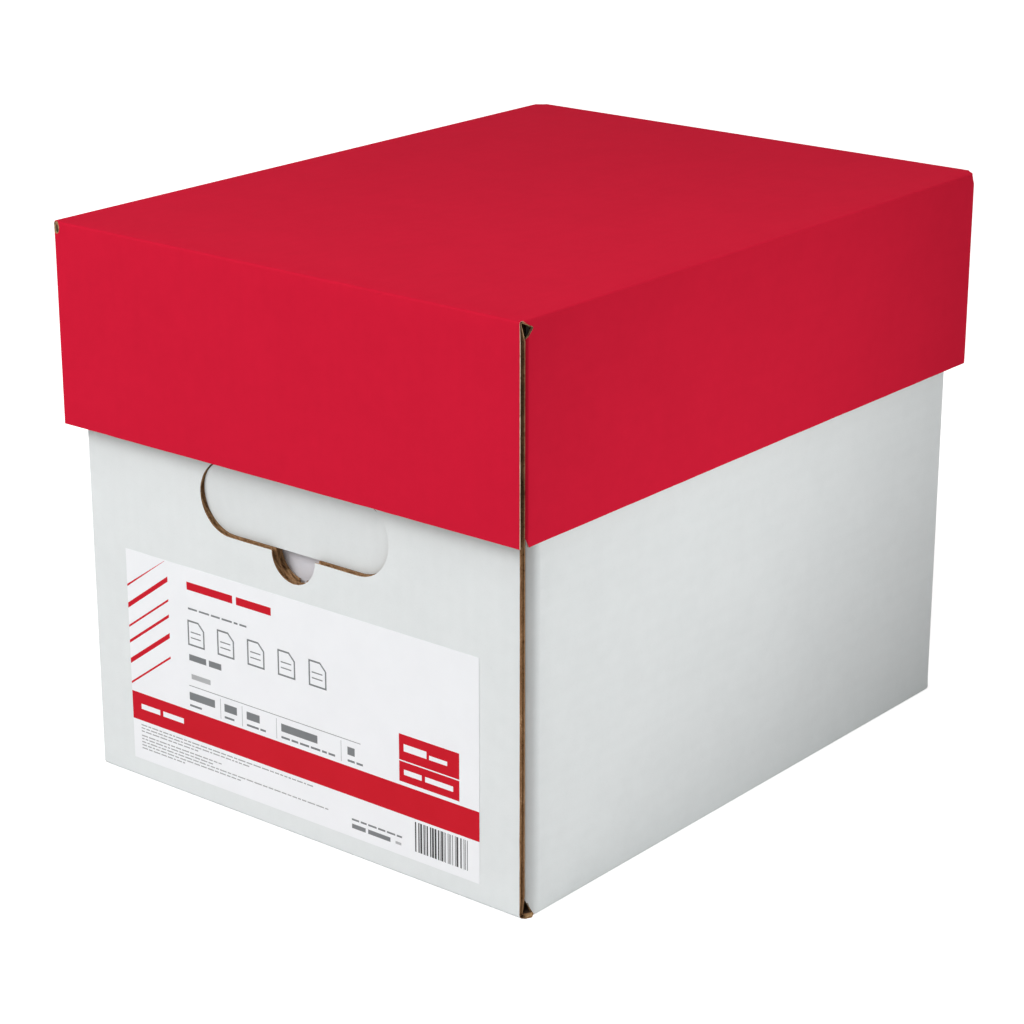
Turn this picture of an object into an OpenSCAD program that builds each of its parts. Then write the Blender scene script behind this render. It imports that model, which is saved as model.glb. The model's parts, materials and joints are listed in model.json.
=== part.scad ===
// Carton of copy paper: a deep white tray and a lift-off red lid, each folded from one sheet of corrugated
// board, with five wrapped reams stacked inside and a printed label on one end.
// Origin at the centre of the underside, +Z up. X runs across the ends, Y along the long sides, and the end
// with the label faces -Y. All lengths are in millimetres.

/* [Reams] */
// Width of a wrapped ream, across the carton
ream_width = 217.8; // [180:0.1:260]
// Length of a wrapped ream, along the carton
ream_length = 280; // [240:0.1:340]
// Thickness of a wrapped ream
ream_thickness = 45.5; // [38:0.5:60]
// Rounding of a ream's long edges, where the wrapper turns
ream_edge = 1.4; // [0.4:0.1:3]
// Gap between the reams and each long side
side_slack = 3.5; // [1:0.1:8]
// Gap between the reams and the corner tabs at each end
end_slack = 1.2; // [1.2:0.1:6]
// Gap between the top ream and the lid
head_room = 1.6; // [0.5:0.1:12]

/* [Tray] */
// Thickness of the tray's board
tray_board = 3.2; // [2.2:0.1:4]
// Outer rounding of the folds along the tray's floor
tray_floor_fold = 2.2; // [0.5:0.1:3.2]
// Inner radius of the upright folds that turn the tray's sides into corner tabs
tray_tab_fold = 2.2; // [0.3:0.1:4]
// Gap between the two corner tabs that meet behind an end panel
tray_tab_gap = 4; // [1:0.5:30]
// Distance from a long side's face to the raw edge of the end panel beside it
tray_edge_setback = 2.8; // [1:0.1:4.6]
// Length along a long side of the slanted cut at each lower corner of the tray
tray_relief = 6.8; // [5:0.1:12]
// Height above the ground at which a corner tab of the tray starts
tray_tab_foot = 6.2; // [4.2:0.1:12]
// Distance from the tray's rim at which a corner tab ends
tray_tab_head = 3; // [1:0.5:15]

/* [Lid] */
// Thickness of the lid's board
lid_board = 3.2; // [2.2:0.1:4]
// Height of the lid, over its top
lid_depth = 84; // [60:0.5:110]
// Gap between lid and tray, on each side
lid_clearance = 0.7; // [0.5:0.1:3]
// Outer rounding of the folds along the lid's top
lid_top_fold = 2; // [0.5:0.1:3]
// Inner radius of the upright folds that turn the lid's sides into corner tabs
lid_tab_fold = 0.7; // [0.3:0.1:4]
// Gap between the two corner tabs behind an end panel of the lid
lid_tab_gap = 58; // [4:1:150]
// Distance from a long side's face to the raw edge of the lid's end panel beside it
lid_edge_setback = 3.3; // [1:0.1:3.6]
// Length along a long side of the slanted cut at each upper corner of the lid
lid_relief = 8; // [5:0.1:12]
// Depth below the top of the lid at which its corner tabs start
lid_tab_foot = 7; // [4.2:0.1:12]
// Distance from the lid's lower edge at which a corner tab ends
lid_tab_head = 3; // [1:0.5:15]

/* [Hand holes] */
// Width of a hand hole, end to end
hole_width = 99; // [70:1:130]
// Height of a hand hole, from its lower edge to the crease of its flap
hole_height = 31.5; // [24:0.5:40]
// Depth of the flap's crease below the lid's lower edge
crease_drop = 0.5; // [0:0.5:20]
// Radius of the finger notch below the flap
notch_radius = 11.5; // [6:0.5:16]
// Width of the cut round a flap
flap_kerf = 0.4; // [0.3:0.05:1]
// Angle that a flap is pushed in
flap_tilt = 6; // [0:0.5:6]

/* [Label] */
// Margin between the label and each upright edge of its end panel
label_side_margin = 22; // [8:0.5:60]
// Height of the label's lower edge above the ground
label_foot = 9; // [4:0.5:30]
// Gap between the label's upper edge and the finger notch
label_notch_gap = 6.5; // [2:0.5:30]
// Thickness of the label
label_thickness = 0.15; // [0.1:0.05:0.4]

/* [Hidden] */
$fn = 64;

// How many reams the carton holds, which is how many ream nodes there are
ream_count = 5;
// How far a cutting shape runs past the face that it cuts
over = 1;
// Depth to which an end panel is bonded to the floor and to the tabs glued behind it
bond = 0.05;

tray_width = ream_width + 2 * (side_slack + tray_board);
tray_length = ream_length + 2 * (end_slack + 2 * tray_board);
tray_height = tray_board + ream_count * ream_thickness + head_room;
lid_width = tray_width + 2 * (lid_clearance + lid_board);
lid_length = tray_length + 2 * (lid_clearance + 2 * lid_board);
carton_height = tray_height + lid_board;

crease_height = carton_height - lid_depth - crease_drop;
hole_foot = crease_height - hole_height;
hole_end_radius = hole_height / 2;
label_head = hole_foot - notch_radius - label_notch_gap;

white_board = [0.86, 0.88, 0.89];
red_board = [0.80, 0.11, 0.20];
label_white = [0.95, 0.96, 0.96];
wrapper_white = [0.92, 0.92, 0.93];

// Rectangle about the origin with round corners
module round_rectangle(width, length, radius) {
    square([width - 2 * radius, length], center = true);
    square([width, length - 2 * radius], center = true);
    for (x = [-1, 1], y = [-1, 1]) {
        translate([x * (width / 2 - radius), y * (length / 2 - radius)]) circle(radius);
    }
}

// Upright rectangle standing on the X axis, with its two lower corners rounded
module trough_outline(width, height, radius) {
    translate([-width / 2, radius]) square([width, height - radius]);
    translate([-width / 2 + radius, 0]) square([width - 2 * radius, 2 * radius]);
    for (x = [-1, 1]) {
        translate([x * (width / 2 - radius), radius]) circle(radius);
    }
}

// Repeats a shape made at the +X, -Y corner at all four corners
module at_corners() {
    for (x = [0, 1], y = [0, 1]) {
        mirror([x, 0, 0]) mirror([0, y, 0]) children();
    }
}

// Repeats a shape made at the -Y end at both ends
module at_ends() {
    for (y = [0, 1]) {
        mirror([0, y, 0]) children();
    }
}

// Extrudes an outline drawn in X and Z along Y, between two values of Y
module along_y(from, to) {
    translate([0, to, 0]) rotate([90, 0, 0]) linear_extrude(to - from) children();
}

// Extrudes an outline drawn in Y and Z along X, between two values of X
module along_x(from, to) {
    translate([from, 0, 0]) rotate([90, 0, 90]) linear_extrude(to - from) children();
}

// Floor of a folded box, rounded along its side folds and cut off across its corners
module box_floor(width, length, board, fold, setback) {
    difference() {
        along_y(-length / 2 + board - bond, length / 2 - board + bond) {
            intersection() {
                trough_outline(width, 2 * board, min(fold, board));
                translate([-width / 2, 0]) square([width, board]);
            }
        }
        at_corners() {
            translate([width / 2, -length / 2, -over]) linear_extrude(board + 2 * over) {
                polygon([
                    [-setback, 0],
                    [0, setback],
                    [over, setback],
                    [over, 0]
                ]);
            }
        }
    }
}

// Long sides and the corner tabs that they turn into, as one upright ring cut open behind each end panel
module sides_and_tabs(width, length, height, board, fold, tab_fold, tab_gap, relief, foot, head) {
    corner = board + tab_fold;
    tab_face = length / 2 - board;
    difference() {
        intersection() {
            linear_extrude(height) {
                difference() {
                    round_rectangle(width, length - 2 * (board - bond), corner);
                    round_rectangle(width - 2 * board, length - 4 * board, tab_fold);
                }
            }
            along_y(-length / 2, length / 2) trough_outline(width, height, min(fold, board));
        }
        at_corners() {
            // the foot of the fold, cut on a slant from the floor up to the tab
            along_x(width / 2 - corner, width / 2 + over) {
                polygon([
                    [-tab_face - over, -over],
                    [-length / 2 + relief, -over],
                    [-length / 2 + relief, 0],
                    [-tab_face, foot],
                    [-tab_face - over, foot]
                ]);
            }
            // the head of the fold, cut on a slant from the rim down to the tab
            along_x(width / 2 - corner, width / 2 + over) {
                polygon([
                    [-tab_face - over, height + over],
                    [-tab_face + head, height + over],
                    [-tab_face + head, height],
                    [-tab_face, height - head],
                    [-tab_face - over, height - head]
                ]);
            }
        }
        at_ends() {
            // the tabs start above the floor, end below the rim and leave a gap between them
            translate([-width / 2 + corner, -tab_face - over, -over]) {
                cube([width - 2 * corner, board + 2 * over, foot + over]);
            }
            translate([-width / 2 + corner, -tab_face - over, height - head]) {
                cube([width - 2 * corner, board + 2 * over, head + over]);
            }
            translate([-tab_gap / 2, -tab_face - over, -over]) {
                cube([tab_gap, board + 2 * over, height + 2 * over]);
            }
        }
    }
}

// End panels, whose upright edges are raw, folded up from the floor
module end_panels(width, length, height, board, fold, setback) {
    at_ends() {
        intersection() {
            translate([-width / 2 + setback, -length / 2, 0]) {
                cube([width - 2 * setback, board, height]);
            }
            along_x(-width / 2, width / 2) trough_outline(length, height, min(fold, board));
        }
    }
}

// Open box folded from one sheet of board, standing on its floor
module folded_box(
    width, length, height, board,
    fold, tab_fold, tab_gap, setback,
    relief, foot, head
) {
    box_floor(width, length, board, fold, setback);
    sides_and_tabs(width, length, height, board, fold, tab_fold, tab_gap, relief, foot, head);
    end_panels(width, length, height, board, fold, setback);
}

// Outline of a hand hole's flap, in X and Z, smaller than the hole by a margin all round
module flap_outline(margin) {
    radius = hole_end_radius - margin;
    straight = hole_width / 2 - hole_end_radius;
    translate([0, hole_foot + hole_end_radius]) {
        square([2 * straight, 2 * radius], center = true);
        for (x = [-1, 1]) {
            translate([x * straight, 0]) circle(radius);
        }
    }
}

// Outline of a hand hole with its finger notch
module hole_outline() {
    flap_outline(0);
    translate([0, hole_foot]) circle(notch_radius);
}

// Flap at the -Y end, still held by its crease along the top and pushed in
module hand_flap() {
    inner_face = -tray_length / 2 + tray_board;
    translate([0, inner_face, crease_height]) rotate([flap_tilt, 0, 0]) {
        translate([0, -inner_face, -crease_height]) {
            along_y(-tray_length / 2, inner_face) flap_outline(flap_kerf);
        }
    }
}

module tray() {
    color(white_board) difference() {
        folded_box(
            tray_width, tray_length, tray_height, tray_board,
            tray_floor_fold, tray_tab_fold, tray_tab_gap, tray_edge_setback,
            tray_relief, tray_tab_foot, tray_tab_head
        );
        along_y(-tray_length / 2 - over, tray_length / 2 + over) hole_outline();
    }
}

module lid() {
    color(red_board) translate([0, 0, carton_height]) mirror([0, 0, 1]) {
        folded_box(
            lid_width, lid_length, lid_depth, lid_board,
            lid_top_fold, lid_tab_fold, lid_tab_gap, lid_edge_setback,
            lid_relief, lid_tab_foot, lid_tab_head
        );
    }
}

module hand_flap_front() {
    color(white_board) hand_flap();
}

module hand_flap_rear() {
    color(white_board) mirror([0, 1, 0]) hand_flap();
}

module front_label() {
    color(label_white) {
        translate([-tray_width / 2 + label_side_margin, -tray_length / 2 - label_thickness, label_foot]) {
            cube([tray_width - 2 * label_side_margin, label_thickness, label_head - label_foot]);
        }
    }
}

// One wrapped ream, counted from 1 at the bottom of the stack
module ream(level) {
    color(wrapper_white) translate([0, 0, tray_board + (level - 0.5) * ream_thickness]) {
        along_y(-ream_length / 2, ream_length / 2) {
            round_rectangle(ream_width, ream_thickness, ream_edge);
        }
    }
}

tray();
lid();
hand_flap_front();
hand_flap_rear();
front_label();
ream(1);  // ream_1
ream(2);  // ream_2
ream(3);  // ream_3
ream(4);  // ream_4
ream(5);  // ream_5
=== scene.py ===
import json
import math
import random

import bpy
import numpy as np
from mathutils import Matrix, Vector, geometry


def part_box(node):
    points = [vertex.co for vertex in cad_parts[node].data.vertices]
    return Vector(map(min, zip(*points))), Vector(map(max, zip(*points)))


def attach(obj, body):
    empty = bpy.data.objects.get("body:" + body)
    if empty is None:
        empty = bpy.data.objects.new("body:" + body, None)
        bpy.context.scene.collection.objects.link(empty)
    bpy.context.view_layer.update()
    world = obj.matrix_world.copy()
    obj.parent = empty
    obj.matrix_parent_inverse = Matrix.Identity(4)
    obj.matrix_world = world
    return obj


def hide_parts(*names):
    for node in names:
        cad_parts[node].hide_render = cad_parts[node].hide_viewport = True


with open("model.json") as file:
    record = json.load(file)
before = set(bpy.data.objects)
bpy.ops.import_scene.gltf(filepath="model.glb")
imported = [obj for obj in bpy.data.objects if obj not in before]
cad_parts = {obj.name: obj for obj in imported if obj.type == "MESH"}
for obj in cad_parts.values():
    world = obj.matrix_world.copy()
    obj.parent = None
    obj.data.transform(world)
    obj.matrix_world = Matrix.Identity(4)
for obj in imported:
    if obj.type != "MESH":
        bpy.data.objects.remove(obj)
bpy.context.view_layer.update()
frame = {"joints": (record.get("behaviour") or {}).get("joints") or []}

MM = 0.001

# What the frame says of the carton, in metres
TRAY_LOW, TRAY_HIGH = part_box("tray")
LID_LOW, LID_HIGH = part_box("lid")
LABEL_LOW, LABEL_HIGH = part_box("front_label")
JOINTS = {joint["name"]: joint for joint in frame["joints"]}
CREASE_HEIGHT = JOINTS["flap_front_push"]["pos_m"][2]
CARTON_HEIGHT = LID_HIGH.z
TRAY_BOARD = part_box("ream_1")[0].z
LID_BOARD = LID_HIGH.z - TRAY_HIGH.z
REAM_COUNT = 5

# The sheet of corrugated board: two liners and a fluted medium between them
LINER = 0.55 * MM
MEDIUM = 0.30 * MM
FLUTE_PITCH = 6.4 * MM
SAMPLES_PER_FLUTE = 8
LONGEST_JUMP = 3 * MM
SHORTEST_ROW = 1 * MM
KNOT_GAP = 0.02 * MM

# How the sheet is meshed: a grid of points, a row of points beside each cut, and rows along the folds
MESH_STEP = 8 * MM
MESH_JITTER = 0.08
MESH_CLEAR = 0.3 * MESH_STEP
RIM_STEP = 1.1 * MM
RIM_CLEAR = 0.6 * RIM_STEP
FOLD_STEPS = 6
SHARP_ANGLE = math.radians(38)

# How a cut's edge is worn: crushed within a short reach, and ragged on the cut itself
RIM_CRUSH = 0.10 * MM
CRUSH_REACH = 0.5 * RIM_STEP
RAGGED = 0.05 * MM
ON_RIM = 0.01 * MM

# How a crease crushes the board: the share of the fold's radius that is left, and the reach beside the fold
CREASE_SHARE = 0.85
CREASE_REACH = 4 * MM

# How a panel bows: the sine's end at the rim, and the power of its fading to both sides
BOW_PEAK = 0.62 * math.pi
BOW_FADE = 1.4

# The folded corners: where an upright fold is fully turned, and how the floor's free corner springs back
CORNER_NAMES = ("front_right", "front_left", "rear")
CORNER_EASE = 0.62
LEAST_EASE = 0.02
SPRING_RUN = 1.3 * MM
SPRING_LEAN = 0.4
SPRING_RELIEF = 0.35
# the reach, across and along, of each corner pocket's inner face that is painted with shade
PAINTED_SHADE_MARGIN = (3 * MM, 2 * MM)

# The torn rims at the front corners
TORN_STEP = 0.5 * MM
TORN_LEVELS = 5
TORN_MARGIN = 0.1 * MM
TORN_PULL = 0.12 * MM
TORN_ROUGH = 0.10 * MM
TORN_WIDTH = 0.3 * MM
SLANT_FLARE = 0.8 * MM
SLANT_DEPTH = 0.4

# Material slots of a folded sheet; the pocket slot holds painted shade, a near-black kraft
FACE_INK, KRAFT_INK, FLUTE_INK, EDGE_INK, POCKET_SHADE_INK, TORN_INK, LINED_INK = range(7)

# The hand holes
HOLE_WIDTH = 99 * MM
HOLE_HEIGHT = 31.5 * MM
NOTCH_RADIUS = 11.5 * MM
FLAP_KERF = 0.35 * MM
FLAP_TILT = math.radians(6)
FLAP_BOW = 0.5 * MM
ARC_STEPS = 28

# The photograph's view: the camera looks along azimuth and pitch, past the carton's near upright edge
CAMERA_AZIMUTH = math.radians(39.12)
CAMERA_PITCH = math.radians(19.29)
CAMERA_DISTANCE = 1.0191
CAMERA_RIGHT = 3.47 * MM
CAMERA_UP = -45.61 * MM
SENSOR_WIDTH = 36.0
FOCAL_LENGTH = 99.8


class CornerCut:
    """How the sheet is cut at a corner: the end panel's setback, the floor's nose and the side's slant.

    Nose and slant are steps in millimetres past the side fold's start and back from the carton's end."""

    def __init__(self, setback, nose, slant):
        self.setback = setback
        self.nose = nose
        self.slant = slant


class Carton:
    """One open box folded from a sheet of board, standing on its floor; sizes are in metres.

    fold and corner are the outer radii of the floor's folds and the upright ones, tab_gap is the gap between
    two corner tabs, and cuts has each corner's CornerCut. flat, from 0 to 1, is how far the floor's free
    corners spring back. A corner tab starts at foot above the floor and ends at head below the rim."""

    def __init__(self, low, high, board, fold, corner, tab_gap, cuts, flat, foot, head, flute_start, bow):
        self.width = high.x - low.x
        self.length = high.y - low.y
        self.height = high.z - low.z
        self.board = board
        self.fold = fold
        self.corner = corner
        self.fold_lost = 1 - CREASE_SHARE * fold / board
        self.corner_lost = max(0.0, 1 - CREASE_SHARE * corner / board)
        self.tab_gap = tab_gap
        self.cuts = cuts
        self.flat = flat
        self.foot = foot
        self.head = head
        self.flute_start = self.width / 2 - cuts["front_right"].setback + flute_start
        self.side_start = self.width / 2 - fold
        self.end_start = self.length / 2 - fold
        self.turn_start = self.length / 2 - board - self.corner
        self.turn_end = self.turn_start + self.corner * math.pi / 2
        self.fold_run = fold * math.pi / 2
        self.foot_rise = self.fold_run + foot - fold
        self.bow = bow
        self.scuffs = []
        self.nose_flare = 0.0
        self.outer_edge_ink = EDGE_INK
        self.upside_down = False

    def along_side(self, height):
        """Distance from the sheet's middle, across it, of a height on a side panel."""
        return self.side_start + self.fold_run + height - self.fold

    def along_end(self, height):
        """Distance from the sheet's middle, along it, of a height on an end panel."""
        return self.end_start + self.fold_run + height - self.fold

    def along_tab(self, across):
        """Distance from the sheet's middle, along it, of a place on a corner tab, across the carton."""
        return self.turn_end + self.width / 2 - self.corner - across


def add_object(name, data):
    """A new object in the scene."""
    made = bpy.data.objects.new(name, data)
    bpy.context.scene.collection.objects.link(made)
    return made


def smooth(value):
    """Eases from 0 to 1 as the value does."""
    value = np.clip(value, 0, 1)
    return value * value * (3 - 2 * value)


def fold_up(distance, half, radius, depth, turned=1.0):
    """How far out and how high a point of the sheet lies once the sheet is folded up at half its floor."""
    start = half - radius
    angle = np.clip((distance - start) / radius, 0, math.pi / 2) * turned
    risen = np.maximum(distance - start - radius * math.pi / 2, 0)
    wide = radius / turned
    out = np.minimum(distance, start) + (wide - depth) * np.sin(angle)
    up = wide - (wide - depth) * np.cos(angle) + risen
    return out, up


def fold_squeeze(carton, across, along, spring):
    """Share of the board's thickness that is left at and beside the folds, where creases crush it."""
    near = []
    for rise in (across - carton.side_start, along - carton.end_start):
        past = carton.fold_run - rise
        near.append(smooth(rise / CREASE_REACH + 1) * smooth(past / CREASE_REACH + 1))
    side_fold, end_fold = near
    on_side = across > carton.side_start
    before_end = smooth((carton.end_start - along) / CREASE_REACH + 1)
    side_fold = side_fold * np.where(on_side, 1, before_end) * (1 - SPRING_RELIEF * spring)
    end_fold = np.where(on_side, 0, end_fold)
    start, end = (carton.turn_start - along) / CREASE_REACH, (along - carton.turn_end) / CREASE_REACH
    upright = smooth(1 - start) * smooth(1 - end) * smooth((across - carton.side_start) / CREASE_REACH)
    return (1 - carton.fold_lost * np.maximum(side_fold, end_fold)) * (1 - carton.corner_lost * upright)


def nose_spring(carton, u, v):
    """How far the floor's free front corner, cut off from the side panel, springs back from the fold."""
    tips = [carton.cuts[name].nose[-1] for name in ("front_left", "front_right")]
    reach, back = (np.where(u < 0, left, right) * MM for left, right in zip(*tips))
    inward = -v - (carton.length / 2 - back)
    free = np.abs(u) - carton.side_start < reach + SPRING_LEAN * inward
    return carton.flat * smooth(inward / SPRING_RUN) * free


def bow_depth(carton, u, v):
    """How far each point of the sheet bows inwards, most in the middle of a panel."""
    across = np.clip(np.abs(u) / carton.side_start, 0, 1)
    along = np.clip(np.abs(v) / carton.turn_start, 0, 1)
    side_rise = np.clip((np.abs(u) - carton.side_start) / carton.height, 0, 1)
    end_rise = np.clip((np.abs(v) - carton.end_start) / carton.height, 0, 1)
    over_width = np.cos(across * math.pi / 2) ** BOW_FADE
    over_length = np.cos(along * math.pi / 2) ** BOW_FADE
    floor = carton.bow["floor"] * over_width * over_length
    side = carton.bow["side"] * over_length * np.sin(side_rise * BOW_PEAK)
    end = carton.bow["end"] * over_width * np.sin(end_rise * BOW_PEAK)
    on_side = np.abs(u) > carton.side_start
    on_end = ~on_side & (np.abs(v) > carton.end_start)
    return np.where(on_side, side, np.where(on_end, end, floor))


def folded(carton, u, v, depth):
    """Places points of the flat sheet, at a depth below its outer face, on the folded carton."""
    u, v = np.asarray(u, float), np.asarray(v, float)
    across, along = np.abs(u), np.abs(v)
    spring = nose_spring(carton, u, v)
    depth = depth * fold_squeeze(carton, across, along, spring) + bow_depth(carton, u, v)
    # floor and side panels
    side_out, side_up = fold_up(across, carton.width / 2, carton.fold, depth, 1 - spring)
    inset = carton.width / 2 - side_out
    # the upright fold is fully turned a little below its tab's foot, and eases into the floor from there
    ease = np.maximum(smooth((across - carton.side_start) / (CORNER_EASE * carton.foot_rise)), LEAST_EASE)
    radius = carton.corner / ease
    turn = np.clip((along - carton.turn_start) / carton.corner, 0, math.pi / 2) * ease
    past = np.maximum(along - carton.turn_end, 0)
    turned_y = np.minimum(along, carton.turn_start) + (radius - inset) * np.sin(turn) + past * np.cos(turn)
    turned_x = carton.width / 2 - radius + (radius - inset) * np.cos(turn) - past * np.sin(turn)
    # floor and end panels
    end_out, end_up = fold_up(along, carton.length / 2, carton.fold, depth)
    on_side = across > carton.side_start
    x = np.where(on_side, turned_x, across) * np.where(u < 0, -1, 1)
    y = np.where(on_side, turned_y, end_out) * np.where(v < 0, -1, 1)
    z = np.where(on_side, side_up, end_up)
    if carton.upside_down:
        z = CARTON_HEIGHT - z
    return np.stack([x, y, z], -1)


def spread(points, step, closed=False):
    """The same polyline with more points, none further than step apart."""
    points = [np.array(p, float) for p in points]
    ends = points[1:] + points[:1] if closed else points[1:]
    out = []
    for a, b in zip(points, ends):
        count = max(1, math.ceil(np.linalg.norm(b - a) / step))
        out += [a + (b - a) * i / count for i in range(count)]
    return np.array(out if closed else out + [points[-1]])


def arc(centre, radius, start, end, steps=ARC_STEPS):
    """Points of an arc between two angles in degrees."""
    angles = np.radians(np.linspace(start, end, steps + 1))
    return [(centre[0] + radius * math.cos(a), centre[1] + radius * math.sin(a)) for a in angles]


def ellipse(width, height, steps=20):
    """Points of an ellipse of given half width and half height."""
    return [(width * x, height * y) for x, y in arc((0, 0), 1, 0, 360 - 360 / steps, steps - 1)]


def hole_outline(margin=0.0, notch=True):
    """Outline of a hand hole in X and Z, anticlockwise from the left end of its upper edge."""
    foot = CREASE_HEIGHT - HOLE_HEIGHT
    end_radius = HOLE_HEIGHT / 2
    straight = HOLE_WIDTH / 2 - end_radius
    middle = foot + end_radius
    left = arc((-straight, middle), end_radius - margin, 90, 270)
    below = arc((0, foot), NOTCH_RADIUS, 180, 360) if notch else []
    return [*left, *below, *arc((straight, middle), end_radius - margin, -90, 90)]


def tab_end(carton):
    """The free end of a corner tab, from its foot to its head, as places across the carton and heights."""
    gap = carton.tab_gap / 2
    if carton.upside_down:
        return [(gap, carton.foot), (gap, carton.height - carton.head)]
    hole = [p for p in hole_outline() if p[0] > gap]
    below, above = (carton.foot, hole[0][1]), (CREASE_HEIGHT, carton.height - carton.head)
    return [*((gap, z) for z in below), *hole, *((gap, z) for z in above)]


def corner_line(carton, steps):
    """Places on the flat sheet of steps past the side fold's start and back from the carton's end."""
    return [(carton.side_start + du * MM, carton.length / 2 - dv * MM) for du, dv in steps]


def quarter_outline(carton, cut):
    """One quarter of the flat sheet's outline, from the middle of an end panel's rim to a side panel's."""
    raw_edge = carton.width / 2 - cut.setback
    rim_u, rim_v = carton.along_side(carton.height), carton.along_end(carton.height)
    foot_u = carton.along_side(carton.foot)
    head_u = carton.along_side(carton.height - carton.head)
    corner = corner_line(carton, cut.nose + cut.slant)
    tab = [(carton.along_side(z), carton.along_tab(x)) for x, z in tab_end(carton)]
    head_turn = math.asin(max(0.0, (carton.corner - carton.head) / carton.corner))
    head_v = carton.turn_start + carton.corner * head_turn
    panel = [(0, rim_v), (raw_edge, rim_v), (raw_edge, carton.end_start + carton.fold_run / 2)]
    side = [(head_u, carton.turn_end), (rim_u, head_v), (rim_u, 0)]
    return [*panel, *corner, (foot_u, carton.turn_end), *tab, *side]


def sheet_outline(carton):
    """The flat sheet's whole outline."""
    front_right, front_left, rear = (quarter_outline(carton, carton.cuts[name]) for name in CORNER_NAMES)
    rim_v, rim_u = rear[0][1], rear[-1][0]
    lower_right = [(u, -v) for u, v in reversed(front_right[1:-1])]
    lower_left = [(-u, -v) for u, v in front_left[1:-1]]
    upper_left = [(-u, v) for u, v in reversed(rear[1:-1])]
    right = [(0, rim_v), *rear[1:-1], (rim_u, 0), *lower_right]
    return [*right, (0, -rim_v), *lower_left, (-rim_u, 0), *upper_left]


def sheet_holes(carton):
    """The hand holes, on the flat sheet."""
    if carton.upside_down:
        return []
    flat = [(x, carton.along_end(z)) for x, z in hole_outline()]
    return [flat, [(u, -v) for u, v in flat]]


def fold_lines(carton):
    """Rows of points along the rounded folds, across which the sheet's mesh turns."""
    lines = []
    rim_u = carton.along_side(carton.height)
    shares = [i / FOLD_STEPS for i in range(FOLD_STEPS + 1)]
    for side in (-1, 1):
        for share in shares:
            run = share * carton.fold * math.pi / 2
            u, v = side * (carton.side_start + run), side * (carton.end_start + run)
            turn = side * (carton.turn_start + share * (carton.turn_end - carton.turn_start))
            lines.append([(u, -carton.length / 2), (u, carton.length / 2)])
            lines.append([(-carton.side_start, v), (carton.side_start, v)])
            lines += [[(carton.side_start * s, turn), (rim_u * s, turn)] for s in (-1, 1)]
    return lines


def edges_of(loops):
    """The edges of closed loops, as pairs of points."""
    for loop in loops:
        ring = np.asarray(loop, float)
        yield from zip(ring, np.roll(ring, -1, axis=0))


def inside(points, loops):
    """Whether each point lies inside the loops, by counting the edges that it crosses."""
    result = np.zeros(len(points), bool)
    for (ax, ay), (bx, by) in edges_of(loops):
        if ay != by:
            spans = (points[:, 1] > min(ay, by)) & (points[:, 1] <= max(ay, by))
            result ^= spans & (points[:, 0] < ax + (points[:, 1] - ay) * (bx - ax) / (by - ay))
    return result


def distance_to(points, loops):
    """Distance from each point to the nearest edge of the loops."""
    best = np.full(len(points), np.inf)
    for start, end in edges_of(loops):
        run = end - start
        share = np.clip(((points - start) @ run) / max(run @ run, 1e-18), 0, 1)
        best = np.minimum(best, np.linalg.norm(points - start - share[:, None] * run, axis=1))
    return best


def triangulate(loops, lines, seed):
    """Triangulates the area inside the loops, and returns its points, triangles and rim distances."""
    rng = np.random.default_rng(seed)
    loops = [spread(loop, MESH_STEP, closed=True) for loop in loops]
    low = np.min([loop.min(0) for loop in loops], 0)
    high = np.max([loop.max(0) for loop in loops], 0)
    ticks = [np.arange(a, b, MESH_STEP) for a, b in zip(low, high)]
    grid = np.stack(np.meshgrid(*ticks), -1).reshape(-1, 2)
    grid += rng.uniform(-MESH_JITTER, MESH_JITTER, grid.shape) * MESH_STEP
    grid = grid[inside(grid, loops)]
    grid = grid[distance_to(grid, loops) > RIM_STEP + MESH_CLEAR]
    rims = []
    for loop in loops:
        run = np.roll(loop, -1, axis=0) - np.roll(loop, 1, axis=0)
        normal = np.stack([-run[:, 1], run[:, 0]], -1) / np.linalg.norm(run, axis=1)[:, None]
        rims += [loop + normal * RIM_STEP, loop - normal * RIM_STEP]
    rims = np.concatenate(rims)
    rims = rims[inside(rims, loops)]
    rims = rims[distance_to(rims, loops) > RIM_CLEAR]
    points, edges = [], []
    for loop in loops:
        first = len(points)
        points += list(loop)
        edges += [(first + i, first + (i + 1) % len(loop)) for i in range(len(loop))]
    for line in lines:
        first = len(points)
        row = spread(line, MESH_STEP)
        points += list(row)
        edges += [(first + i, first + i + 1) for i in range(len(row) - 1)]
    points += list(rims) + list(grid)
    made = geometry.delaunay_2d_cdt([Vector(p) for p in points], edges, [], 0, 1e-7)
    flat = np.array([tuple(p) for p in made[0]])
    triangles = np.array([tuple(f) for f in made[2]])
    triangles = triangles[inside(flat[triangles].mean(1), loops)]
    used, order = np.unique(triangles, return_inverse=True)
    flat, triangles = flat[used], order.reshape(triangles.shape)
    return flat, triangles, distance_to(flat, loops)


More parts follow.
